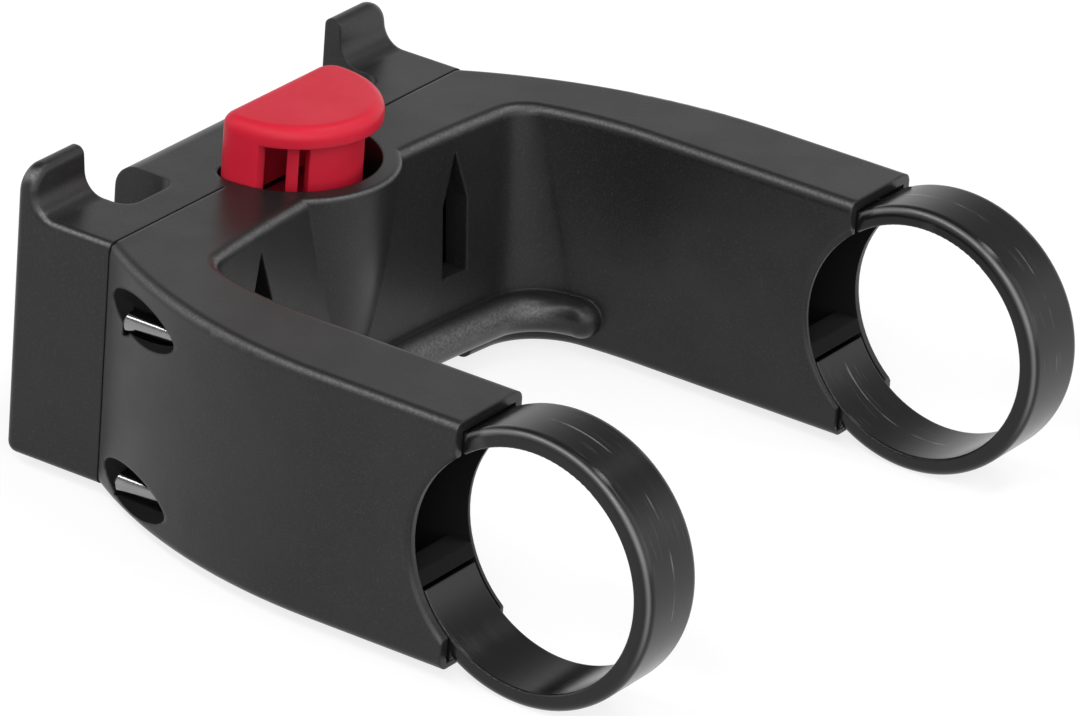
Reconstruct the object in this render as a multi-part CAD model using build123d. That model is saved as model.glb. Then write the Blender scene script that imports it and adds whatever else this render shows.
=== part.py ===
from build123d import *
import os
from math import cos, radians, sin, sqrt, tan

# Quick-release mount that carries a bag in front of a bicycle handlebar.
# Frame: X across the bicycle to the rider's right, Y forward to the bag, Z up.
# The origin is on the handlebar's axis, midway between the two clamp bands. Millimetres.

# Handlebar and clamp bands
bar_diameter = 31.8
bar_clearance = 0.1
band_thickness = 2.5
band_width = 10.8
band_spacing = 89.0
band_edge_round = 1.3
band_inner_round = 0.3
band_front_angle = 27.6
band_tail_angle = 52.0
tail_thickness = 2.3
tail_length = 26.0
tail_clearance = 0.3
lug_length = 7.0
lug_wall = 0.7
lug_side_wall = 0.4

# Arm frame
roof_over_bar = 1.2
floor_under_bar = 0.8
arm_end_y = 10.2
seam_y = 73.0
arm_wall = 1.45
arm_roof = 1.5
arm_floor = 0.9
arm_hollow_length = 32.0
band_side_clearance = 0.25
saddle_clearance = 0.1
bow_length = 42.0
frame_edge_round = 1.5
seam_groove_width = 0.2
seam_groove_depth = 0.25
neck_depth = 10.3
pocket_corner_x = 34.0
pocket_bow_length = 21.0
pocket_corner_round = 4.5
pocket_foot_round = 9.5
back_wall_bow = 2.3
back_wall_lean = 4.2
corner_lean = 5.5
arm_inner_lean = 1.4
back_wall = 2.4
frame_shell = 2.2
rib_height = 1.8
rib_length = 4.0
rib_gap = 0.5
roll_radius = 2.8
roll_rise = 4.9
roll_turn_x = 29.0
roll_turn_radius = 9.5
roll_turn_angle = 80.0
foot_recess_x = 25.0
foot_recess_depth = 3.5
foot_recess_height = 1.6
saddle_chamfer = 0.5
slot_x = 21.5
slot_width = 5.0
slot_apex_drop = 3.2
slot_shoulder_drop = 10.4
slot_foot_drop = 20.7

# Button well and its boss on the back wall
well_offset = 0.5
well_radius = 12.5
well_wall = 2.7
well_step_drop = 10.2
well_floor = 5.8
boss_draft = 5.6
boss_rim_round = 0.8

# Release button
button_rise = 8.6
button_travel = 6.0
button_front = 3.0
button_front_gap = 0.5
button_stop_gap = 0.4
pad_thickness = 2.8
pad_round = 1.7
pad_corner_round = 2.9
pad_clearance = 0.2
skirt_radius = 10.0
skirt_wall = 2.0
skirt_floor_gap = 4.0
guide_clearance = 0.3
end_block_length = 6.6
end_block_thickness = 2.2
window_height = 11.0
window_angle = 55.0
window_end_angle = 100.0
rib_angle = 46.0
gap_angle = 38.0
web_rise = 10.0
web_thickness = 2.0
catch_width = 13.0
catch_height = 6.0
catch_clearance = 0.5
catch_tip_gap = 0.5

# Button spring
spring_mean_radius = 3.6
spring_wire = 0.7
spring_turns = 6
spring_side_gap = 0.5
spring_end_gap = 0.05
stub_gap = 0.35
stub_height = 3.0

# Hook plate
plate_width = 77.4
plate_depth = 15.0
hook_rise = 6.1
hook_width = 10.7
hook_thickness = 3.0
hook_lean = 0.6
hook_root_round = 3.2
hook_corner_round = 3.4
hook_edge_round = 1.1
notch_width = 10.5
notch_length = 9.9
notch_depth = 12.2
notch_corner_round = 2.5
brow_round = 3.4
plate_foot_round = 1.5

# Clamp screws and their inserts
upper_screw_drop = 8.2
screw_head_radius = 1.4
screw_head_length = 16.0
screw_shank_radius = 1.0
screw_end_reach = 5.7
screw_setback = 5.0
screw_head_chamfer = 0.5
screw_bore_radius = 2.0
shank_clearance = 0.1
socket_across_flats = 1.3
socket_depth = 2.0
insert_radius = 1.4
thread_clearance = 0.05

# Scoops in the frame's sides, through which a key reaches the clamp screws
scoop_radius = 3.1
scoop_tip_radius = 0.4
scoop_front_x = 40.3
scoop_splay = 18.0
scoop_top_drop = 6.0
scoop_foot_rise = 4.2
scoop_length = 20.0
scoop_setback = 0.6

# Plate screws
plate_screw_x = 32.0
plate_screw_top_drop = 9.2
plate_screw_foot_rise = 6.3
plate_screw_radius = 1.5
plate_screw_depth = 7.5
plate_screw_clearance = 0.15
plate_head_radius = 2.8
plate_head_height = 2.2
plate_head_clearance = 0.3
plate_head_setback = 1.0
plate_socket_across_flats = 2.5
plate_socket_depth = 1.3
plate_boss_radius = 3.4

# Places that follow from the sizes above
bar_radius = bar_diameter / 2 + bar_clearance
saddle_radius = bar_radius + saddle_clearance
top_z = bar_radius + roof_over_bar
bottom_z = -bar_radius - floor_under_bar
band_x = band_spacing / 2
arm_hollow_half = band_width / 2 + band_side_clearance
arm_half = arm_hollow_half + arm_wall
arm_outer = band_x + arm_half
arm_inner = band_x - arm_half
tail_end_y = arm_end_y + tail_length
tail_top_z = top_z - arm_roof - tail_clearance
tail_bottom_z = bottom_z + arm_floor + tail_clearance
plate_half = plate_width / 2
front_y = seam_y + plate_depth
pocket_back_y = seam_y - neck_depth
well_y = seam_y + well_offset
well_step_z = top_z - well_step_drop
well_floor_z = bottom_z + well_floor
guide_radius = skirt_radius + guide_clearance
button_front_y = well_y + button_front
pad_radius = well_radius - pad_clearance
pad_bottom_z = top_z + button_rise - pad_thickness
skirt_inner = skirt_radius - skirt_wall
skirt_bottom_z = well_floor_z + button_travel + skirt_floor_gap
web_z = skirt_bottom_z + web_rise
spring_y = well_y - skirt_inner + spring_side_gap + spring_mean_radius + spring_wire / 2
screw_x = band_x - band_width / 2 + lug_side_wall + insert_radius
screw_front_y = seam_y - screw_setback
screw_seat_y = screw_front_y - screw_head_length
screw_end_y = tail_end_y - lug_length - screw_end_reach
upper_screw_z = top_z - upper_screw_drop
lower_screw_z = tail_bottom_z + lug_wall + insert_radius
plate_seat_y = front_y - plate_head_setback - plate_head_height
scoop_levels = (top_z - scoop_top_drop, bottom_z + scoop_foot_rise)
plate_screw_levels = (top_z - plate_screw_top_drop, bottom_z + plate_screw_foot_rise)
past = 2.0

SIDES = {"left": -1, "right": 1}
LEVELS = {"upper": upper_screw_z, "lower": lower_screw_z}


def along_y(radius, y_from, y_to, x=0.0, z=0.0):
    """Round bar parallel to Y between two places."""
    bar = Cylinder(radius, y_to - y_from, align=(Align.CENTER, Align.CENTER, Align.MIN))
    return Pos(x, y_from, z) * Rot(-90, 0, 0) * bar


def along_x(radius, x_from, x_to, y=0.0, z=0.0):
    """Round bar parallel to X between two places."""
    bar = Cylinder(radius, x_to - x_from, align=(Align.CENTER, Align.CENTER, Align.MIN))
    return Pos(x_from, y, z) * Rot(0, 90, 0) * bar


def upright(radius, z_from, z_to, x=0.0, y=0.0):
    """Round bar parallel to Z between two heights."""
    bar = Cylinder(radius, z_to - z_from, align=(Align.CENTER, Align.CENTER, Align.MIN))
    return Pos(x, y, z_from) * bar


def block(x_range, y_range, z_range):
    """Box between two places along each axis, given in any order."""
    ranges = [sorted(ends) for ends in (x_range, y_range, z_range)]
    sizes = [high - low for low, high in ranges]
    box = Box(*sizes, align=(Align.MIN, Align.MIN, Align.MIN))
    return Pos(*[low for low, _ in ranges]) * box


def both_halves(half):
    """A plan outline drawn for X above zero, joined to its mirror image."""
    return half + mirror(half, about=Plane.YZ)


def frame_plan():
    """Plan of the frame's outside: arms that bow in to the plate's width at the seam."""
    bow_start = (arm_outer, seam_y - bow_length)
    bow = TangentArc(bow_start, (plate_half, seam_y), tangent=(0, 1))
    rest = Polyline((plate_half, seam_y), (0, seam_y), (0, arm_end_y), (arm_outer, arm_end_y), bow_start)
    return both_halves(make_face(bow + rest))


def frame_blank():
    """Outside of the frame, with its long edges rounded."""
    blank = extrude(Pos(0, 0, bottom_z) * frame_plan(), top_z - bottom_z)
    long_edges = blank.edges().filter_by(GeomType.CIRCLE) + blank.edges().filter_by(Axis.Y)
    return fillet(long_edges, frame_edge_round)


def wall_drop(z, lean):
    """How far a wall that leans from the top has moved at one height."""
    return (top_z - z) * tan(radians(lean))


def back_wall_y(z):
    """Place of the back wall's middle at one height."""
    return pocket_back_y - wall_drop(z, back_wall_lean)


def pocket_plan(z):
    """Plan of the space between the arms at one height; its walls lean and its corners widen downwards."""
    wall = arm_inner + wall_drop(z, arm_inner_lean)
    corner_x = pocket_corner_x + wall_drop(z, corner_lean)
    corner_y = back_wall_y(z) - back_wall_bow
    mouth_y = arm_end_y - past
    bow_y = pocket_back_y - pocket_bow_length
    bow = TangentArc((wall, bow_y), (corner_x, corner_y), tangent=(0, 1))
    back = ThreePointArc((corner_x, corner_y), (0, back_wall_y(z)), (-corner_x, corner_y))
    mouth = Polyline((-wall, bow_y), (-wall, mouth_y), (wall, mouth_y), (wall, bow_y))
    plan = make_face(bow + back + mirror(bow, about=Plane.YZ) + mouth)
    widening = (pocket_foot_round - pocket_corner_round) / (top_z - bottom_z)
    corners = plan.vertices().group_by(Axis.Y)[-1]
    return Pos(0, 0, z) * fillet(corners, pocket_corner_round + widening * (top_z - z))


def pocket():
    """Space between the arms."""
    return loft([pocket_plan(top_z + past), pocket_plan(bottom_z - past)], ruled=True)


def roll():
    """Round ledge along the foot of the back wall, which turns along the arms and ends in a ball."""
    z = bottom_z + roll_rise
    middle_y = back_wall_y(z)
    turn_y = middle_y - back_wall_bow * (roll_turn_x / pocket_corner_x) ** 2
    middle = ThreePointArc((-roll_turn_x, turn_y), (0, middle_y), (roll_turn_x, turn_y))
    turn = JernArc(middle @ 1, middle % 1, roll_turn_radius, -roll_turn_angle)
    line = Pos(0, 0, z) * (mirror(turn, about=Plane.YZ) + middle + turn)
    path = line.wires()[0]
    ledge = sweep(Plane(origin=path @ 0, z_dir=path % 0) * Circle(roll_radius), path)
    return ledge + [Pos(path @ end) * Sphere(roll_radius) for end in (0, 1)]


def foot_recess():
    """Shallow recess in the back wall's bottom edge, below the roll."""
    foot_y = back_wall_y(bottom_z)
    y_range = (foot_y - back_wall_bow - past, foot_y + foot_recess_depth)
    return block((-foot_recess_x, foot_recess_x), y_range, (bottom_z - past, bottom_z + foot_recess_height))


def boss():
    """Half-round boss that carries the well's rear wall, narrowing downwards."""
    height = top_z - bottom_z
    radius = well_radius + well_wall
    foot_radius = radius - height * tan(radians(boss_draft))
    cone = Cone(foot_radius, radius, height, align=(Align.CENTER, Align.CENTER, Align.MIN))
    cone = fillet(cone.edges().group_by(Axis.Z)[-1], boss_rim_round)
    rear_half = block((-radius, radius), (well_y - radius, seam_y), (bottom_z, top_z))
    return Pos(0, well_y, bottom_z) * cone & rear_half


def well():
    """Stepped well of the button: wide for its pad, narrow for its skirt."""
    mouth_z = (well_step_z, top_z + past)
    wide = upright(well_radius, *mouth_z, y=well_y)
    wide &= block((-well_radius, well_radius), (well_y - well_radius, well_y), mouth_z)
    front = block((-well_radius, well_radius), (well_y, button_front_y + button_front_gap), mouth_z)
    corners = front.edges().filter_by(Axis.Z).group_by(Axis.Y)[-1]
    wide += fillet(corners, pad_corner_round)
    return wide + upright(guide_radius, well_floor_z, well_step_z, y=well_y)


def slots():
    """Two pointed slots through the back wall, one on each side of the boss."""
    half = slot_width / 2
    foot, shoulder, apex = [top_z - drop for drop in (slot_foot_drop, slot_shoulder_drop, slot_apex_drop)]
    corners = ((-half, foot), (half, foot), (half, shoulder), (0, apex), (-half, shoulder))
    outline = Polyline(*corners, close=True)
    face = Plane.XZ.offset(-(pocket_back_y + back_wall + past)) * make_face(outline)
    cutter = extrude(face, 2 * neck_depth)
    return [Pos(side * slot_x, 0, 0) * cutter for side in SIDES.values()]


def plate_screw_places():
    """Places of the plate screws on the seam."""
    return [(side * plate_screw_x, z) for side in SIDES.values() for z in plate_screw_levels]


def side_hollow(side):
    """Hollow behind the back wall, beside the well, with columns for the plate screws."""
    low, high = sorted((side * (well_radius + well_wall + frame_shell), side * (plate_half - frame_shell)))
    foot_z, roof_z = bottom_z + frame_shell, top_z - frame_shell
    section = Polyline(
        (back_wall_y(foot_z) + back_wall, foot_z),
        (seam_y + past, foot_z),
        (seam_y + past, roof_z),
        (back_wall_y(roof_z) + back_wall, roof_z),
        close=True,
    )
    hollow = extrude(Plane.YZ.offset(low) * make_face(section), high - low)
    for x, z in plate_screw_places():
        hollow -= along_y(plate_boss_radius, back_wall_y(foot_z), seam_y + past, x, z)
    return hollow


def arm_hollow(side):
    """Hollow of one arm, open at its rear end, with a rib across it below the bar."""
    x_range = (side * band_x - arm_hollow_half, side * band_x + arm_hollow_half)
    z_range = (bottom_z + arm_floor, top_z - arm_roof)
    hollow = block(x_range, (arm_end_y - past, arm_end_y + arm_hollow_length), z_range)
    rib_foot = rib_gap - saddle_radius * sin(radians(band_front_angle))
    rib_y = sqrt(saddle_radius**2 - rib_foot**2)
    return hollow - block(x_range, (rib_y, rib_y + rib_length), (rib_foot, rib_foot + rib_height))


def right_saddle():
    """Round seat for the bar in the right arm's end, chamfered at both of the arm's faces."""
    inner_face = arm_inner + wall_drop(0, arm_inner_lean)
    seat = along_x(saddle_radius, inner_face - past, arm_outer + past)
    length = saddle_chamfer + past
    flare = Cone(saddle_radius, saddle_radius + length, length, align=(Align.CENTER, Align.CENTER, Align.MIN))
    seat += Pos(arm_outer - saddle_chamfer, 0, 0) * Rot(0, 90, 0) * flare
    return seat + Pos(inner_face + saddle_chamfer, 0, 0) * Rot(0, -90, 0) * flare


def screw_passage(side, z):
    """Stepped bore of one clamp screw, from the arm's hollow to the frame's side."""
    place = (side * screw_x, z)
    hollow_end_y = arm_end_y + arm_hollow_length
    shank_bore = along_y(screw_shank_radius + shank_clearance, hollow_end_y, screw_seat_y, *place)
    return shank_bore + along_y(screw_bore_radius, screw_seat_y, screw_front_y, *place)


def scoop(side, z):
    """Lens-shaped scoop along the frame's side, through which a key reaches a screw."""
    front, rear = (scoop_tip_radius, 0), (scoop_tip_radius, -scoop_length)
    arc = ThreePointArc(front, (scoop_radius, -scoop_length / 2), rear)
    core = Polyline(rear, (0, -scoop_length), (0, 0), front)
    lens = revolve(make_face(arc + core), Axis.Y)
    return Pos(side * scoop_front_x, seam_y - scoop_setback, z) * Rot(0, 0, side * scoop_splay) * lens


def seam_groove():
    """Narrow groove round the frame where it meets the plate."""
    y_range = (seam_y - seam_groove_width, seam_y)
    outside = block((-arm_outer, arm_outer), y_range, (bottom_z, top_z))
    core_half = plate_half - seam_groove_depth
    core_z = (bottom_z + seam_groove_depth, top_z - seam_groove_depth)
    return outside - block((-core_half, core_half), y_range, core_z)


def spring_stub():
    """Stub on the well's floor that centres the spring."""
    radius = spring_mean_radius - spring_wire / 2 - stub_gap
    return upright(radius, well_floor_z, well_floor_z + stub_height, y=spring_y)


def arm_frame():
    """Main moulding: two hollow arms, the leaning back wall and the rear half of the button's well."""
    frame = frame_blank() - pocket()
    levels = frame.edges().group_by(Axis.Z)
    reach = arm_inner + arm_wall
    round_pocket = block((-reach, reach), (arm_end_y, seam_y - past), (bottom_z - past, top_z + past))
    rims = [edge for edge in levels[-1] + levels[0] if round_pocket.is_inside(edge.center())]
    frame = fillet(rims, frame_edge_round) - seam_groove()
    frame -= foot_recess()
    frame += [roll(), boss()]
    frame -= [well(), *slots(), right_saddle(), mirror(right_saddle(), about=Plane.YZ)]
    for side in SIDES.values():
        frame -= [side_hollow(side), arm_hollow(side)]
        for z in LEVELS.values():
            frame -= screw_passage(side, z)
        for z in scoop_levels:
            frame -= scoop(side, z)
    for x, z in plate_screw_places():
        frame -= along_y(plate_screw_radius, seam_y - plate_screw_depth, seam_y + past, x, z)
    return frame + spring_stub()


def plate_section():
    """Section of the plate's middle, with its front top edge rounded off."""
    corners = ((seam_y, bottom_z), (front_y, bottom_z), (front_y, top_z), (seam_y, top_z))
    section = make_face(Polyline(*corners, close=True))
    brow = section.vertices().sort_by_distance((front_y, top_z))[0]
    section = fillet(brow, brow_round)
    foot = section.vertices().sort_by_distance((front_y, bottom_z))[0]
    return fillet(foot, plate_foot_round)


def hook_section():
    """Section of the plate through a hook: a ledge level with the frame's top, and the upright hook."""
    tip_z = top_z + hook_rise
    back_y = front_y - hook_thickness
    section = make_face(
        Polyline(
            (seam_y, bottom_z),
            (front_y, bottom_z),
            (front_y, tip_z),
            (back_y + hook_lean, tip_z),
            (back_y, top_z),
            (seam_y, top_z),
            close=True,
        )
    )
    root = section.vertices().sort_by_distance((back_y, top_z))[0]
    section = fillet(root, hook_root_round)
    foot = section.vertices().sort_by_distance((front_y, bottom_z))[0]
    return fillet(foot, plate_foot_round)


def right_hook():
    """The right hook with the part of the plate below it, its outer edges rounded."""
    inner, tip_z = plate_half - hook_width, top_z + hook_rise
    corners = ((inner, bottom_z), (plate_half, bottom_z), (plate_half, tip_z), (inner, tip_z))
    front = make_face(Polyline(*corners, close=True))
    outer_tip = front.vertices().sort_by_distance((plate_half, tip_z))[0]
    outline = extrude(Plane.XZ.offset(-seam_y) * fillet(outer_tip, hook_corner_round), -plate_depth)
    hook = extrude(Plane.YZ.offset(inner) * hook_section(), hook_width) & outline
    foot_and_ledge = hook.edges().filter_by(Axis.Y).group_by(Axis.X)[-1].sort_by(Axis.Z)[:2]
    front_tip = hook.edges().filter_by(Axis.X).group_by(Axis.Y)[-1].sort_by(Axis.Z)[-1:]
    return fillet(foot_and_ledge + front_tip, hook_edge_round)


def right_notch():
    """Space of the notch beside the right hook, with its two rear corners rounded."""
    outer = plate_half - hook_width
    y_range = (front_y - notch_length, front_y + past)
    notch = block((outer - notch_width, outer), y_range, (top_z - notch_depth, top_z + past))
    return fillet(notch.edges().filter_by(Axis.Z).group_by(Axis.Y)[0], notch_corner_round)


def hook_plate():
    """Front moulding: two hooks, a notch beside each, and the front half of the button's well."""
    plate = extrude(Plane.YZ * plate_section(), plate_half - hook_width, both=True)
    plate += [right_hook(), mirror(right_hook(), about=Plane.YZ)]
    plate -= [right_notch(), mirror(right_notch(), about=Plane.YZ), well()]
    half_window = catch_width / 2 + catch_clearance
    plate -= block(
        (-half_window, half_window),
        (well_y, front_y + past),
        (skirt_bottom_z - button_travel - catch_clearance, skirt_bottom_z + catch_height + catch_clearance),
    )
    for x, z in plate_screw_places():
        plate -= along_y(plate_screw_radius + plate_screw_clearance, seam_y - past, plate_seat_y, x, z)
        plate -= along_y(plate_head_radius + plate_head_clearance, plate_seat_y, front_y + past, x, z)
    return plate


def skirt_window(side, angle_from, angle_to):
    """Upright window in the skirt between two angles, counted from the rear."""
    reach = 2 * skirt_radius
    angles = [radians(angle) for angle in (angle_from, angle_to)]
    rim = [(side * reach * sin(angle), -reach * cos(angle)) for angle in angles]
    sector = make_face(Polyline((0, 0), *rim, close=True)) - Circle(skirt_inner / 2)
    return extrude(Pos(0, well_y, pad_bottom_z - window_height) * sector, window_height)


def button_skirt():
    """Hollow skirt that runs in the well, with a web for the spring and windows that leave ribs."""
    skirt = upright(skirt_radius, skirt_bottom_z, pad_bottom_z, y=well_y)
    skirt -= upright(skirt_inner, skirt_bottom_z, pad_bottom_z, y=well_y)
    skirt += upright(skirt_inner, web_z, web_z + web_thickness, y=well_y)
    stop_z = well_step_z - button_stop_gap
    front_y_range = (button_front_y, well_y + skirt_radius)
    skirt -= block((-skirt_radius, skirt_radius), front_y_range, (stop_z, pad_bottom_z))
    for side in SIDES.values():
        skirt -= skirt_window(side, gap_angle, rib_angle)
        skirt -= skirt_window(side, window_angle, window_end_angle)
    return skirt


def release_button():
    """Half-disc pad on a hollow ribbed skirt, with the catch at its front."""
    plan = Circle(pad_radius) & Rectangle(2 * pad_radius, pad_radius, align=(Align.CENTER, Align.MAX))
    plan += Rectangle(2 * pad_radius, button_front, align=(Align.CENTER, Align.MIN))
    plan = Pos(0, well_y, pad_bottom_z) * fillet(plan.vertices().group_by(Axis.Y)[-1], pad_corner_round)
    pad = extrude(plan, pad_thickness)
    wall_z = (well_step_z + button_travel + button_stop_gap, pad_bottom_z)
    wall_back_y = button_front_y - end_block_thickness
    front = block((-pad_radius, pad_radius), (wall_back_y, button_front_y), wall_z)
    for side in SIDES.values():
        block_x = (side * pad_radius, side * (pad_radius - end_block_thickness))
        front += block(block_x, (button_front_y - end_block_length, button_front_y), wall_z)
    front &= extrude(plan, wall_z[0] - pad_bottom_z)
    button = fillet(pad.edges().group_by(Axis.Z)[-1], pad_round) + button_skirt() + front
    catch = block(
        (-catch_width / 2, catch_width / 2),
        (well_y + skirt_inner, front_y - catch_tip_gap),
        (skirt_bottom_z, skirt_bottom_z + catch_height),
    )
    lead_in = catch.edges().filter_by(Axis.X).group_by(Axis.Y)[-1].sort_by(Axis.Z)[-1]
    return button + chamfer(lead_in, catch_height / 2)


def button_spring():
    """Compression spring between the well's floor and the button's web."""
    foot_z = well_floor_z + spring_wire / 2 + spring_end_gap
    length = web_z - spring_wire / 2 - spring_end_gap - foot_z
    path = Helix(length / spring_turns, length, spring_mean_radius)
    wire = Plane(origin=path @ 0, z_dir=path % 0) * Circle(spring_wire / 2)
    return Pos(0, spring_y, foot_z) * sweep(wire, path)


def band_ring():
    """Band round the bar: a section with rounded outer edges, turned about the bar's axis."""
    section = Rectangle(band_width, band_thickness, align=(Align.CENTER, Align.MIN))
    section = fillet(section.vertices().group_by(Axis.Y)[-1], band_edge_round)
    section = fillet(section.vertices().group_by(Axis.Y)[0], band_inner_round)
    lean = 90 - band_tail_angle
    start = Rot(-lean, 0, 0) * (Plane.XZ * Pos(0, bar_radius) * section)
    return revolve(start, Axis.X, lean + 270 - band_front_angle)


def band_tail(side, outer_z, screw_z):
    """Flat tail along the inside of the arm, ending in a lug round the clamp screw's insert."""
    inwards = -1 if outer_z > 0 else 1
    x_range = (side * band_x - band_width / 2, side * band_x + band_width / 2)
    lug_y = (tail_end_y - lug_length, tail_end_y)
    tail_y = (bar_radius * cos(radians(band_tail_angle)), tail_end_y)
    tail = block(x_range, tail_y, (outer_z, outer_z + inwards * tail_thickness))
    tail += block(x_range, lug_y, (outer_z, screw_z + inwards * (insert_radius + lug_wall)))
    tail -= along_y(screw_shank_radius + shank_clearance, arm_end_y, tail_end_y, side * screw_x, screw_z)
    return tail - along_y(insert_radius, *lug_y, side * screw_x, screw_z)


def clamp_band(side):
    """Band round the bar with two tails that run into the arm, each with a lug for its screw."""
    tails = band_tail(side, tail_top_z, upper_screw_z) + band_tail(side, tail_bottom_z, lower_screw_z)
    bar_space = bar_radius + band_inner_round
    tails -= along_x(bar_space, side * band_x - band_width, side * band_x + band_width)
    return Pos(side * band_x, 0, 0) * band_ring() + tails


def clamp_insert(side, z):
    """Threaded brass insert in a tail's lug."""
    place = (tail_end_y - lug_length, tail_end_y, side * screw_x, z)
    return along_y(insert_radius, *place) - along_y(screw_shank_radius + thread_clearance, *place)


def hexagon_socket(across_flats, depth, x, z, mouth_y):
    """Space of a hexagon socket whose mouth faces forward."""
    hexagon = Plane.XZ.offset(-mouth_y) * RegularPolygon(across_flats / 2, 6, major_radius=False)
    return Pos(x, 0, z) * extrude(hexagon, depth)


def clamp_screw(side, z):
    """Long screw that pulls one tail forward, with a hexagon socket in its front end."""
    place = (side * screw_x, z)
    screw = along_y(screw_shank_radius, screw_end_y, screw_seat_y, *place)
    head = along_y(screw_head_radius, screw_seat_y, screw_front_y, *place)
    screw += chamfer(head.edges().group_by(Axis.Y)[-1], screw_head_chamfer)
    return screw - hexagon_socket(socket_across_flats, socket_depth, *place, screw_front_y)


def plate_screws():
    """Screws that hold the hook plate on the frame, driven from the front."""
    screws = []
    for x, z in plate_screw_places():
        shank = along_y(plate_screw_radius, seam_y - plate_screw_depth, plate_seat_y, x, z)
        head_y = plate_seat_y + plate_head_height
        head = along_y(plate_head_radius, plate_seat_y, head_y, x, z)
        socket = hexagon_socket(plate_socket_across_flats, plate_socket_depth, x, z, head_y)
        screws.append(shank + head - socket)
    return Compound(children=screws)


def main():
    os.makedirs("parts", exist_ok=True)
    pieces = {
        "arm_frame": arm_frame(),
        "hook_plate": hook_plate(),
        "release_button": release_button(),
        "button_spring": button_spring(),
        "plate_screws": plate_screws(),
    }
    for name, side in SIDES.items():
        pieces[f"{name}_clamp_band"] = clamp_band(side)
        for level, z in LEVELS.items():
            pieces[f"{name}_{level}_clamp_screw"] = clamp_screw(side, z)
            pieces[f"{name}_{level}_clamp_insert"] = clamp_insert(side, z)
    for name, shape in pieces.items():
        export_step(shape, f"parts/{name}.step")


main()
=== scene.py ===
from math import radians, tan
import bpy
from mathutils import Matrix, Vector


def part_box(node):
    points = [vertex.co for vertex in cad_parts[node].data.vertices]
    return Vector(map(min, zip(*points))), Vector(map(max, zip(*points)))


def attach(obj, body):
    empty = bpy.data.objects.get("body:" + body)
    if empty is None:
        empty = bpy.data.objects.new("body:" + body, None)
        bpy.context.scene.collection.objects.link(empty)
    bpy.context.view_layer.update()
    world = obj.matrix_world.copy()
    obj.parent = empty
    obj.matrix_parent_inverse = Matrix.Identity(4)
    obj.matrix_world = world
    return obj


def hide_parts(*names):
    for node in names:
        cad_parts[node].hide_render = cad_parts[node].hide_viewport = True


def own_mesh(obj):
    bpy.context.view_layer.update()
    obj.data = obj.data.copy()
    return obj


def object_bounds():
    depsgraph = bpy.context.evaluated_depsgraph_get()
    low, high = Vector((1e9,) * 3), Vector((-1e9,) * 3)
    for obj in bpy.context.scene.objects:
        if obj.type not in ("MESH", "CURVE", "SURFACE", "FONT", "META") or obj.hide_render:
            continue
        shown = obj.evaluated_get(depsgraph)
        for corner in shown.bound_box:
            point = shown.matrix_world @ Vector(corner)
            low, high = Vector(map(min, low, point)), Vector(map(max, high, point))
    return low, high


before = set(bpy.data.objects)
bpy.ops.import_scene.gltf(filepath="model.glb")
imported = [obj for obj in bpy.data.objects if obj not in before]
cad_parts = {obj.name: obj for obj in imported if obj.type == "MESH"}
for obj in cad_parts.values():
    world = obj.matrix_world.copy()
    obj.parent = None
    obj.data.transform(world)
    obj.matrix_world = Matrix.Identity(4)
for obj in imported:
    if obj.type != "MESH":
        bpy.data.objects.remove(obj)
cad_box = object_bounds()


# Arm frame: one black moulding of glass-filled nylon, hollow in both arms.
# Its tool was spark-eroded, so every outer face has a fine matt grain with a few pale specks of glass.
# Its upper rims, where they face partly up, and the top of the roll at the back wall's foot carry a painted
# highlight in pale grey; its hollows and scoops carry painted shade.
def new_group(name, inputs, outputs):
    """An empty node group with float inputs, given with their defaults, and a vector called Place."""
    group = bpy.data.node_groups.new(name, "ShaderNodeTree")
    group.interface.new_socket("Place", in_out="INPUT", socket_type="NodeSocketVector")
    for label, value in inputs.items():
        socket = group.interface.new_socket(label, in_out="INPUT", socket_type="NodeSocketFloat")
        socket.default_value = value
    for label in outputs:
        group.interface.new_socket(label, in_out="OUTPUT", socket_type="NodeSocketFloat")
    return group, group.nodes.new("NodeGroupInput"), group.nodes.new("NodeGroupOutput")


def math_node(tree, operation, first, second=None):
    """A math node; each side is a socket to link or a plain number."""
    node = tree.nodes.new("ShaderNodeMath")
    node.operation = operation
    for index, value in enumerate((first, second)):
        if value is None:
            continue
        if isinstance(value, (int, float)):
            node.inputs[index].default_value = value
        else:
            tree.links.new(value, node.inputs[index])
    return node.outputs[0]


def noise_node(tree, place, scale, detail=2.0, roughness=0.5):
    """A noise texture, whose scale is a socket or a number of waves per metre."""
    node = tree.nodes.new("ShaderNodeTexNoise")
    node.inputs["Detail"].default_value = detail
    node.inputs["Roughness"].default_value = roughness
    tree.links.new(place, node.inputs["Vector"])
    if isinstance(scale, (int, float)):
        node.inputs["Scale"].default_value = scale
    else:
        tree.links.new(scale, node.inputs["Scale"])
    return node.outputs["Fac"]


def remap(tree, value, low, high, new_low=0.0, new_high=1.0):
    """Stretches a value from one range to another, and keeps it inside."""
    node = tree.nodes.new("ShaderNodeMapRange")
    node.interpolation_type = "SMOOTHSTEP"
    limits = {"From Min": low, "From Max": high, "To Min": new_low, "To Max": new_high}
    for socket, number in limits.items():
        node.inputs[socket].default_value = number
    tree.links.new(value, node.inputs["Value"])
    return node.outputs["Result"]


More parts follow.
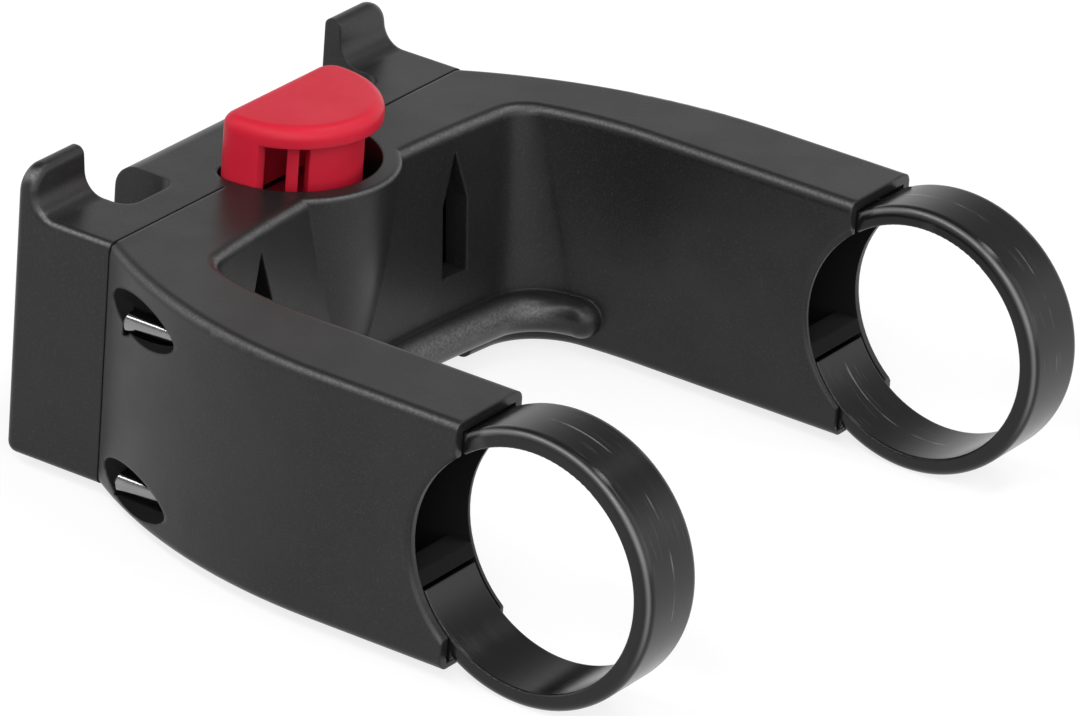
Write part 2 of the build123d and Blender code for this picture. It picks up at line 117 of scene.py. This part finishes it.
CLOUDS_PER_METRE = 45.0
CLOUD_SHARE = 0.6
SMEARS_PER_METRE = 190.0
SMEAR_SHARE = 0.4
SPECKS_PER_GRAIN = 1.3
SPECK_NOISE = (0.50, 0.85)
grain, grain_in, grain_out = new_group(
    "moulded_grain", {"Grain per metre": 900.0}, ("Height", "Tone", "Specks")
)
grain_place = grain_in.outputs["Place"]
grain_size = grain_in.outputs["Grain per metre"]
fine = noise_node(grain, grain_place, grain_size, detail=3.0, roughness=0.65)
cloud = noise_node(grain, grain_place, CLOUDS_PER_METRE, detail=3.0)
smear = noise_node(grain, grain_place, SMEARS_PER_METRE)
speck_size = math_node(grain, "MULTIPLY", grain_size, SPECKS_PER_GRAIN)
speck = noise_node(grain, grain_place, speck_size, detail=1.0)
cloud_part = math_node(grain, "MULTIPLY", cloud, CLOUD_SHARE)
smear_part = math_node(grain, "MULTIPLY", smear, SMEAR_SHARE)
grain.links.new(fine, grain_out.inputs["Height"])
grain.links.new(math_node(grain, "ADD", cloud_part, smear_part), grain_out.inputs["Tone"])
grain.links.new(remap(grain, speck, *SPECK_NOISE), grain_out.inputs["Specks"])


def new_material(name):
    """A material with its shader and the piece's own coordinates."""
    material = bpy.data.materials.new(name)
    material.use_nodes = True
    tree = material.node_tree
    place = tree.nodes.new("ShaderNodeTexCoord").outputs["Object"]
    return tree, tree.nodes["Principled BSDF"], place, material


def add_group(tree, group, place, **values):
    """Places a node group in a material with its own values."""
    node = tree.nodes.new("ShaderNodeGroup")
    node.node_tree = group
    tree.links.new(place, node.inputs["Place"])
    for socket, value in values.items():
        node.inputs[socket.replace("_", " ")].default_value = value
    return node


def blend_colour(tree, amount, low, high):
    """A colour between two, each a socket or a plain colour."""
    node = tree.nodes.new("ShaderNodeMix")
    node.data_type = "RGBA"
    tree.links.new(amount, node.inputs["Factor"])
    for socket, colour in zip(("A", "B"), (low, high)):
        port = [item for item in node.inputs if item.name == socket and item.type == "RGBA"][0]
        if isinstance(colour, tuple):
            port.default_value = (*colour, 1.0)
        else:
            tree.links.new(colour, port)
    return [item for item in node.outputs if item.type == "RGBA"][0]


def add_bump(tree, shader, height, depth, strength, edge_round):
    """Bump of a real depth in metres, on edges that are rounded off by another real length."""
    edges = tree.nodes.new("ShaderNodeBevel")
    edges.inputs["Radius"].default_value = edge_round
    bump = tree.nodes.new("ShaderNodeBump")
    bump.inputs["Distance"].default_value = depth
    bump.inputs["Strength"].default_value = strength
    tree.links.new(height, bump.inputs["Height"])
    tree.links.new(edges.outputs["Normal"], bump.inputs["Normal"])
    tree.links.new(bump.outputs["Normal"], shader.inputs["Normal"])


NOISE_MIDDLE = (0.3, 0.7)
NYLON_BLACK = (0.009, 0.009, 0.009)
NYLON_BLACK_PALE = (0.014, 0.014, 0.014)
GLASS_SPECK = (0.025, 0.025, 0.025)
# Painted shade: near black over the hollows, slots and scoops.
PAINTED_HOLLOW_SHADE = (0.001, 0.001, 0.001)
# Painted highlight: pale grey over the rounded rims, the roll's top and the hooks' edges.
PAINTED_HIGHLIGHT_GREY = (0.14, 0.14, 0.14)
HIGHLIGHT_GRAIN = (0.35, 0.65)
HIGHLIGHT_SHARE = (0.5, 1.0)
NYLON_ROUGHNESS = (0.38, 0.30)


def nylon(name, grain_per_metre, shade_mask, highlight_mask):
    """Black moulded nylon with specks, painted shade in near black and rougher over one mask, and a painted
    highlight in grey over another.
    """
    tree, shader, place, material = new_material(name)
    texture = add_group(tree, grain, place, Grain_per_metre=grain_per_metre)
    tone = texture.outputs["Tone"]
    height = texture.outputs["Height"]
    blotched = blend_colour(tree, remap(tree, tone, *NOISE_MIDDLE), NYLON_BLACK, NYLON_BLACK_PALE)
    specked = blend_colour(tree, texture.outputs["Specks"], blotched, GLASS_SPECK)
    # Painted highlight in grey over the given mask, broken up by the grain.
    patches = remap(tree, height, *HIGHLIGHT_GRAIN, *HIGHLIGHT_SHARE)
    highlight_share = math_node(tree, "MULTIPLY", highlight_mask(tree, place), patches)
    with_highlight = blend_colour(tree, highlight_share, specked, PAINTED_HIGHLIGHT_GREY)
    # Painted shade in near black over the hollows' mask, which also raises roughness.
    hollow_shade = shade_mask(tree, place)
    tree.links.new(blend_colour(tree, hollow_shade, with_highlight, PAINTED_HOLLOW_SHADE), shader.inputs["Base Color"])
    skin = remap(tree, tone, *NOISE_MIDDLE, *NYLON_ROUGHNESS)
    tree.links.new(math_node(tree, "MAXIMUM", skin, hollow_shade), shader.inputs["Roughness"])
    shader.inputs["Specular IOR Level"].default_value = 0.29
    add_bump(tree, shader, height, depth=0.00004, strength=0.35, edge_round=0.0005)
    return material


def all_of(tree, *masks):
    """The product of masks: one where every mask is one."""
    result = masks[0]
    for mask in masks[1:]:
        result = math_node(tree, "MULTIPLY", result, mask)
    return result


def between(tree, value, low, high):
    """One where a value lies between two limits, and nought elsewhere."""
    above = math_node(tree, "GREATER_THAN", value, low)
    return all_of(tree, above, math_node(tree, "LESS_THAN", value, high))


def hump(tree, value, start, top, end):
    """Rises smoothly from nought at the start to one at the top, and falls to nought at the end."""
    rise = remap(tree, value, start, top)
    return all_of(tree, rise, remap(tree, value, top, end, 1.0, 0.0))


def split_place(tree, place):
    """X without its sign, which is the distance from the middle plane, then Y and Z."""
    split = tree.nodes.new("ShaderNodeSeparateXYZ")
    tree.links.new(place, split.inputs[0])
    return math_node(tree, "ABSOLUTE", split.outputs["X"]), split.outputs["Y"], split.outputs["Z"]


def surface_tilt(tree, place):
    """How far the surface faces to either side, and how far it faces up."""
    sideways, _, up = split_place(tree, place.node.outputs["Normal"])
    return sideways, up


def dress(node, material):
    """Gives a carried-over node its finish."""
    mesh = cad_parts[node].data
    mesh.materials.clear()
    mesh.materials.append(material)


ARM_HOLLOW_X = (0.0388, 0.0502)
ARM_HOLLOW_Z = (-0.0161, 0.0158)
ARM_HOLLOW_END = 0.0424
SLOT_HOLLOW_X = (0.0170, 0.0370)
SLOT_HOLLOW_Z = (-0.0150, 0.0151)
BACK_WALL_Y = 0.0636
BACK_WALL_LEAN = tan(radians(4.2))
FRAME_TOP = 0.0172
OUTER_BOW_CENTRE = (-0.0232, 0.0310)
SCOOP_BOTTOM = 0.07465
SCOOP_LEVELS = (0.0112, -0.0126)
SCOOP_HALF_HEIGHT = 0.0032
SCOOP_Y = (0.0535, 0.0727)
SCOOP_INNER_X = 0.0385


def frame_painted_shade(tree, place):
    """Masks the insides of the arms, the hollows behind the slots and the scoops, for painted shade."""
    x, y, z = split_place(tree, place)
    open_end = math_node(tree, "LESS_THAN", y, ARM_HOLLOW_END)
    arms = all_of(tree, between(tree, x, *ARM_HOLLOW_X), between(tree, z, *ARM_HOLLOW_Z), open_end)
    lean = math_node(tree, "MULTIPLY", math_node(tree, "SUBTRACT", FRAME_TOP, z), BACK_WALL_LEAN)
    behind = math_node(tree, "GREATER_THAN", math_node(tree, "ADD", y, lean), BACK_WALL_Y)
    slots = all_of(tree, between(tree, x, *SLOT_HOLLOW_X), between(tree, z, *SLOT_HOLLOW_Z), behind)
    hollow_shade = math_node(tree, "MAXIMUM", arms, slots)
    sides = [math_node(tree, "SUBTRACT", value, centre) for value, centre in zip((x, y), OUTER_BOW_CENTRE)]
    squares = [math_node(tree, "MULTIPLY", side, side) for side in sides]
    sunk = math_node(tree, "LESS_THAN", math_node(tree, "ADD", *squares), SCOOP_BOTTOM**2)
    outside = math_node(tree, "GREATER_THAN", x, SCOOP_INNER_X)
    sunk = all_of(tree, sunk, outside, between(tree, y, *SCOOP_Y))
    for level in SCOOP_LEVELS:
        row = between(tree, z, level - SCOOP_HALF_HEIGHT, level + SCOOP_HALF_HEIGHT)
        hollow_shade = math_node(tree, "MAXIMUM", hollow_shade, all_of(tree, sunk, row))
    return hollow_shade


# Painted highlight on the upper rims and the roll's top.
RIM_HIGHLIGHT = 0.65
RIM_Z = (0.0154, 0.0173)
RIM_TILT = (0.35, 0.72, 0.97)
ROLL_ENDS = (0.0320, 0.0352)
ROLL_Y = (0.0480, 0.0680)
ROLL_Z = (-0.0138, -0.0104, -0.0090)


def frame_painted_highlight(tree, place):
    """Masks the rounded upper rims where they face partly up, and the top of the roll, for a painted
    highlight.
    """
    x, y, z = split_place(tree, place)
    up = surface_tilt(tree, place)[1]
    rims = all_of(tree, between(tree, z, *RIM_Z), hump(tree, up, *RIM_TILT), RIM_HIGHLIGHT)
    short_of_ends = remap(tree, x, *ROLL_ENDS, 1.0, 0.0)
    roll = all_of(tree, hump(tree, z, *ROLL_Z), between(tree, y, *ROLL_Y), short_of_ends)
    return math_node(tree, "MAXIMUM", rims, roll)


FRAME_GRAIN_PER_METRE = 2600.0
dress("arm_frame", nylon("frame_nylon", FRAME_GRAIN_PER_METRE, frame_painted_shade, frame_painted_highlight))


# Hook plate: the second black moulding, of the same nylon, screwed against the frame at the seam.
# It was moulded apart, so its grain is a little coarser. The hooks' rounded side edges carry a painted
# highlight in grey, and its rear face painted shade.
PLATE_GRAIN_PER_METRE = 2300.0
PLATE_BACK = 0.0731
EDGE_SIDEWAYS = (0.2, 0.5)


def plate_painted_shade(tree, place):
    """Masks the plate's rear face, which closes the hollows behind the slots, for painted shade."""
    return math_node(tree, "LESS_THAN", split_place(tree, place)[1], PLATE_BACK)


def plate_painted_highlight(tree, place):
    """Masks the hooks' rounded side edges, where they face partly up and sideways, for a painted highlight.
    """
    sideways, up = surface_tilt(tree, place)
    return all_of(tree, hump(tree, up, *RIM_TILT), remap(tree, sideways, *EDGE_SIDEWAYS))


dress("hook_plate", nylon("plate_nylon", PLATE_GRAIN_PER_METRE, plate_painted_shade, plate_painted_highlight))


# Release button: a red moulding that slides up and down in the well, with a half-disc pad for the thumb.
# It is finely grained, its red and its gloss vary in soft patches, and a little light passes through it.
BUTTON_RED = (0.57, 0.0155, 0.0385)
BUTTON_RED_DEEP = (0.515, 0.0125, 0.0325)
BUTTON_ROUGHNESS = (0.50, 0.38)
tree, shader, place, button_red = new_material("button_red")
texture = add_group(tree, grain, place, Grain_per_metre=2600.0)
tone = texture.outputs["Tone"]
red = blend_colour(tree, remap(tree, tone, *NOISE_MIDDLE), BUTTON_RED_DEEP, BUTTON_RED)
tree.links.new(red, shader.inputs["Base Color"])
tree.links.new(remap(tree, tone, *NOISE_MIDDLE, *BUTTON_ROUGHNESS), shader.inputs["Roughness"])
shader.inputs["Specular IOR Level"].default_value = 0.18
shader.inputs["Subsurface Weight"].default_value = 0.5
shader.inputs["Subsurface Radius"].default_value = (1.0, 0.12, 0.10)
shader.inputs["Subsurface Scale"].default_value = 0.005
add_bump(tree, shader, texture.outputs["Height"], depth=0.00002, strength=0.4, edge_round=0.0003)
dress("release_button", button_red)


# Clamp bands: two bands of tougher black nylon round the bar, smoother than the frame.
# Each came out of a tool that parts along the middle of the band. The bar and tools have scuffed it
# along its length. Its upper edges, where they face partly sideways, carry a painted highlight in grey.
STREAKS_PER_METRE = 2600.0
STREAKS_PER_RADIAN = 2.4
SCUFF_NOISE = (0.60, 0.72)
streaks, streaks_in, streaks_out = new_group(
    "round_scuffs", {"Streaks per metre": STREAKS_PER_METRE}, ("Scuffs", "Waves")
)
split = streaks.nodes.new("ShaderNodeSeparateXYZ")
streaks.links.new(streaks_in.outputs["Place"], split.inputs[0])
turn = math_node(streaks, "ARCTAN2", split.outputs["Z"], split.outputs["Y"])
wrapped = streaks.nodes.new("ShaderNodeCombineXYZ")
across = math_node(streaks, "MULTIPLY", split.outputs["X"], streaks_in.outputs["Streaks per metre"])
streaks.links.new(across, wrapped.inputs["X"])
streaks.links.new(math_node(streaks, "MULTIPLY", turn, STREAKS_PER_RADIAN), wrapped.inputs["Y"])
lines = noise_node(streaks, wrapped.outputs[0], 1.0)
streaks.links.new(remap(streaks, lines, *SCUFF_NOISE), streaks_out.inputs["Scuffs"])
streaks.links.new(lines, streaks_out.inputs["Waves"])

BAND_MIDDLE = 0.0445
BAND_BLACK = (0.0046, 0.0046, 0.0054)
BAND_BLACK_PALE = (0.0077, 0.0077, 0.0085)
BAND_ROUGHNESS = (0.19, 0.23)
BAND_WAVES = (0.35, 0.65)
BAND_SCUFF = (0.046, 0.046, 0.049)
BAND_SCUFF_PATCHES = (0.45, 0.65)
# Painted highlight in grey on the bands' upper edges.
BAND_EDGE_HIGHLIGHT = (0.14, 0.14, 0.14)
BAND_HIGHLIGHT_TILT = (0.45, 0.72, 0.95)
BAND_HIGHLIGHT_FADE = (-0.011, -0.001)
PARTING_HALF = 0.00012
PARTING_GREY = (0.14, 0.14, 0.146)
PARTING_PATCHES = (0.50, 0.62)
tree, shader, place, band_nylon = new_material("band_nylon")
texture = add_group(tree, grain, place, Grain_per_metre=3000.0)
scuffs = add_group(tree, streaks, place, Streaks_per_metre=STREAKS_PER_METRE)
tone = texture.outputs["Tone"]
off_middle, _, level = split_place(tree, place)
ground = blend_colour(tree, remap(tree, tone, *NOISE_MIDDLE), BAND_BLACK, BAND_BLACK_PALE)
scuffed = all_of(tree, scuffs.outputs["Scuffs"], remap(tree, tone, *BAND_SCUFF_PATCHES))
ground = blend_colour(tree, scuffed, ground, BAND_SCUFF)
# Painted highlight: grey where the surface faces partly sideways, fading out towards the bottom.
edges = hump(tree, surface_tilt(tree, place)[0], *BAND_HIGHLIGHT_TILT)
edges = all_of(tree, edges, remap(tree, level, *BAND_HIGHLIGHT_FADE))
ground = blend_colour(tree, edges, ground, BAND_EDGE_HIGHLIGHT)
parting = between(tree, off_middle, BAND_MIDDLE - PARTING_HALF, BAND_MIDDLE + PARTING_HALF)
parting = all_of(tree, parting, remap(tree, tone, *PARTING_PATCHES))
tree.links.new(blend_colour(tree, parting, ground, PARTING_GREY), shader.inputs["Base Color"])
gloss = remap(tree, scuffs.outputs["Waves"], *BAND_WAVES, *BAND_ROUGHNESS)
tree.links.new(gloss, shader.inputs["Roughness"])
shader.inputs["Specular IOR Level"].default_value = 0.31
add_bump(tree, shader, texture.outputs["Height"], depth=0.00001, strength=0.35, edge_round=0.0003)
for side in ("left", "right"):
    dress(f"{side}_clamp_band", band_nylon)


# Clamp screws and plate screws: turned steel rods with hexagon sockets, plated bright.
# Fine turning marks run round each one, and a faint haze clouds the plating.
def metal(name, dark, pale, haze_per_metre, detail):
    """A bare metal whose colour varies with a haze; its roughness is left to be linked."""
    tree, shader, place, material = new_material(name)
    haze = noise_node(tree, place, haze_per_metre, detail)
    tree.links.new(blend_colour(tree, haze, dark, pale), shader.inputs["Base Color"])
    shader.inputs["Metallic"].default_value = 1.0
    return tree, shader, place, haze, material


TURNING_MARKS_PER_METRE = 9000.0
STEEL_ROUGHNESS = (0.12, 0.22)
tree, shader, place, haze, plated_steel = metal(
    "plated_steel", (0.18, 0.18, 0.185), (0.31, 0.31, 0.31), haze_per_metre=300.0, detail=3.0
)
rings = tree.nodes.new("ShaderNodeCombineXYZ")
along_screw = split_place(tree, place)[1]
tree.links.new(math_node(tree, "MULTIPLY", along_screw, TURNING_MARKS_PER_METRE), rings.inputs["Y"])
marks = noise_node(tree, rings.outputs[0], 1.0)
tree.links.new(remap(tree, marks, *NOISE_MIDDLE, *STEEL_ROUGHNESS), shader.inputs["Roughness"])
add_bump(tree, shader, marks, depth=0.00002, strength=0.4, edge_round=0.0001)
screw_nodes = [f"{side}_{level}_clamp_screw" for side in ("left", "right") for level in ("upper", "lower")]
for node in (*screw_nodes, "plate_screws"):
    dress(node, plated_steel)


# Threaded inserts in the bands' tails: turned brass, pressed into the nylon.
# The brass is a little tarnished in patches. The clamp screws run into the inserts.
BRASS_ROUGHNESS = (0.28, 0.42)
tree, shader, place, haze, brass = metal(
    "insert_brass", (0.50, 0.33, 0.10), (0.68, 0.48, 0.18), haze_per_metre=700.0, detail=3.0
)
tree.links.new(remap(tree, haze, *NOISE_MIDDLE, *BRASS_ROUGHNESS), shader.inputs["Roughness"])
for screw in screw_nodes:
    dress(screw.replace("screw", "insert"), brass)


# Button spring: drawn steel wire wound six times, which stands on the well's floor under the button's web.
# A round section is screwed about an upright axis and capped, in place of the rigid CAD spring.
WIRE_RADIUS = 0.00035
WIRE_SIDES = 14
COIL_RADIUS = 0.0036
COIL_TURNS = 6
STEPS_PER_TURN = 36
WIRE_ROUGHNESS = (0.25, 0.40)
spring_low, spring_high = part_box("button_spring")
spring_height = spring_high.z - spring_low.z
spring_axis = (spring_low + spring_high) / 2
bpy.ops.object.select_all(action="DESELECT")
bpy.ops.mesh.primitive_circle_add(
    vertices=WIRE_SIDES, radius=WIRE_RADIUS, location=(COIL_RADIUS, 0, 0), rotation=(radians(90), 0, 0)
)
coil = bpy.context.object
coil.name = "spring_coil"
bpy.ops.object.transform_apply(location=True, rotation=True)
winding = coil.modifiers.new("winding", "SCREW")
winding.iterations = COIL_TURNS
winding.screw_offset = (spring_height - 2 * WIRE_RADIUS) / COIL_TURNS
winding.steps = winding.render_steps = STEPS_PER_TURN
winding.use_smooth_shade = True
bpy.ops.object.modifier_apply(modifier=winding.name)
bpy.ops.object.mode_set(mode="EDIT")
bpy.ops.mesh.select_all(action="SELECT")
bpy.ops.mesh.fill_holes(sides=0)
bpy.ops.mesh.normals_make_consistent(inside=False)
bpy.ops.object.mode_set(mode="OBJECT")
coil.location = (spring_axis.x, spring_axis.y, spring_low.z + WIRE_RADIUS)
bpy.ops.object.transform_apply(location=True)
tree, shader, place, haze, spring_wire = metal(
    "spring_wire", (0.34, 0.34, 0.35), (0.52, 0.52, 0.52), haze_per_metre=1500.0, detail=2.0
)
tree.links.new(remap(tree, haze, *NOISE_MIDDLE, *WIRE_ROUGHNESS), shader.inputs["Roughness"])
coil.data.materials.append(spring_wire)
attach(coil, "frame")
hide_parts("button_spring")
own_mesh(coil)


# Studio: a white paper floor in a pale room with a dimmer ceiling, a long strip light on the left and a box
# light overhead, with wide soft lamps from the back, from the front left and from beside the camera.
# The camera has a long lens and looks down from behind the left band.
def seen_rays(tree):
    """One for rays that show the studio itself: to the camera, off gloss and through clear things."""
    path = tree.nodes.new("ShaderNodeLightPath")
    seen = math_node(tree, "MAXIMUM", path.outputs["Is Camera Ray"], path.outputs["Is Glossy Ray"])
    return math_node(tree, "MAXIMUM", seen, path.outputs["Is Transmission Ray"])


FLOOR_SIZE = 6.0
FLOOR_GAP = 0.0002
PAPER = (0.25, 0.25, 0.25, 1.0)
PAPER_GLOW = 0.80
PAPER_BOUNCE = (0.28, 0.28, 0.28, 1.0)
bpy.ops.object.select_all(action="DESELECT")
bpy.ops.mesh.primitive_plane_add(size=FLOOR_SIZE, location=(0, 0, cad_box[0][2] - FLOOR_GAP))
floor = bpy.context.object
floor.name = "floor"
bpy.ops.object.transform_apply(location=True)
paper = bpy.data.materials.new("paper")
paper.use_nodes = True
tree = paper.node_tree
tree.nodes.clear()
bounce = tree.nodes.new("ShaderNodeBsdfDiffuse")
bounce.inputs["Color"].default_value = PAPER_BOUNCE
sheet = tree.nodes.new("ShaderNodeBsdfDiffuse")
sheet.inputs["Color"].default_value = PAPER
glow = tree.nodes.new("ShaderNodeEmission")
glow.inputs["Strength"].default_value = PAPER_GLOW
lit = tree.nodes.new("ShaderNodeAddShader")
tree.links.new(sheet.outputs[0], lit.inputs[0])
tree.links.new(glow.outputs[0], lit.inputs[1])
either = tree.nodes.new("ShaderNodeMixShader")
tree.links.new(seen_rays(tree), either.inputs[0])
tree.links.new(bounce.outputs[0], either.inputs[1])
tree.links.new(lit.outputs[0], either.inputs[2])
surface = tree.nodes.new("ShaderNodeOutputMaterial")
tree.links.new(either.outputs[0], surface.inputs["Surface"])
floor.data.materials.append(paper)

ROOM_LIGHT = 0.06
CEILING_STARTS = (0.20, 0.70)
CEILING_LIGHT = 0.25
world = bpy.data.worlds.new("studio")
bpy.context.scene.world = world
world.use_nodes = True
tree = world.node_tree
background = tree.nodes["Background"]
background.inputs["Color"].default_value = (1, 1, 1, 1)
sky = tree.nodes.new("ShaderNodeTexCoord").outputs["Generated"]
ceiling = remap(tree, split_place(tree, sky)[2], *CEILING_STARTS, 1.0, CEILING_LIGHT)
walls = math_node(tree, "MULTIPLY", seen_rays(tree), ceiling)
tree.links.new(math_node(tree, "MAXIMUM", walls, ROOM_LIGHT), background.inputs["Strength"])

LAMPS = {  # direction, softness in degrees, strength
    "back_lamp": ((0.20, -0.90, 0.38), 70.0, 1.3),
    "front_left_lamp": ((-0.50, 0.82, 0.30), 35.0, 0.52),
    "fill_lamp": ((-0.70, -0.62, 0.30), 60.0, 1.65),
}
for name, (direction, softness, strength) in LAMPS.items():
    lamp_data = bpy.data.lights.new(name, "SUN")
    lamp_data.angle = radians(softness)
    lamp_data.energy = strength
    lamp = bpy.data.objects.new(name, lamp_data)
    lamp.location = Vector(direction)
    lamp.rotation_euler = Vector(direction).to_track_quat("Z", "Y").to_euler()
    bpy.context.scene.collection.objects.link(lamp)

SOFTBOXES = {  # start, end, width in metres, power in watts
    "left_strip": ((-0.42, 0.85, 0.95), (-0.80, -0.70, 0.60), 0.11, 6.8),
    "overhead_box": ((0.75, -0.25, 0.88), (-0.10, -0.38, 0.98), 0.16, 3.4),
}
for name, (start, end, width, power) in SOFTBOXES.items():
    middle = (Vector(start) + Vector(end)) / 2
    facing = middle.normalized()
    along = Vector(end) - Vector(start)
    along -= facing * along.dot(facing)
    box_data = bpy.data.lights.new(name, "AREA")
    box_data.shape = "RECTANGLE"
    box_data.size = along.length
    box_data.size_y = width
    box_data.energy = power
    box = bpy.data.objects.new(name, box_data)
    along.normalize()
    box.matrix_world = Matrix((along, facing.cross(along), facing)).transposed().to_4x4()
    box.location = middle
    bpy.context.scene.collection.objects.link(box)

# The camera's right, up and backward axes stand in the matrix's columns, and its place in the last one.
camera_data = bpy.data.cameras.new("camera")
camera_data.sensor_width = 36.0
camera_data.lens = 289.41
camera_data.clip_end = 20.0
camera = bpy.data.objects.new("camera", camera_data)
camera.matrix_world = Matrix((
    (0.56698225, 0.31561379, -0.76086731, -0.84677),
    (-0.82086199, 0.29349611, -0.48994451, -0.51310),
    (0.06867835, 0.90235690, 0.42548245, 0.47455),
    (0, 0, 0, 1),
))
bpy.context.scene.collection.objects.link(camera)
bpy.context.scene.camera = camera
bpy.context.scene.view_settings.view_transform = "Standard"
